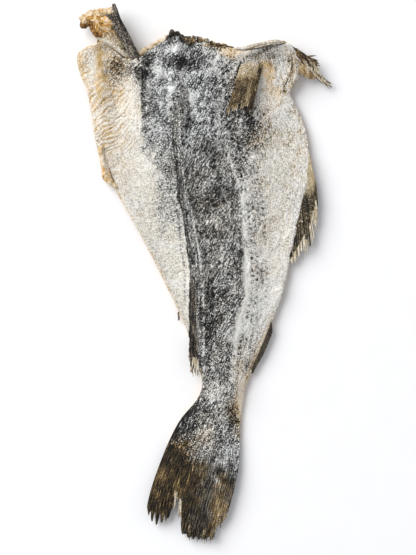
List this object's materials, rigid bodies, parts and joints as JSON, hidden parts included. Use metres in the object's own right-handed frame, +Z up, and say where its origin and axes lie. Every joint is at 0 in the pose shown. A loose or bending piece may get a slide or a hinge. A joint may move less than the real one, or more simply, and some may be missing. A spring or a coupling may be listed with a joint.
{
  "type": "salted dried cod",
  "caption": "Whole salted dried cod without its head, split and opened flat, lying skin side up with its fins and forked, frayed tail.",
  "frame": {"origin": "on the table under the middle of the fish's outline", "axes": "+Z up with the skin side up, +Y towards the cut neck, -Y towards the tail fin"},
  "size_m": [0.2698, 0.5626, 0.0324],
  "materials": {
    "skin": "dry fish skin, matt, with a bloom of salt",
    "flesh": "dried salted flesh, matt and crumbly",
    "fin": "dried fin with horny rays, low sheen",
    "salt": "fine salt crystals"
  },
  "bodies": {
    "root": {"cod": "skin"}
  },
  "joints": []
}
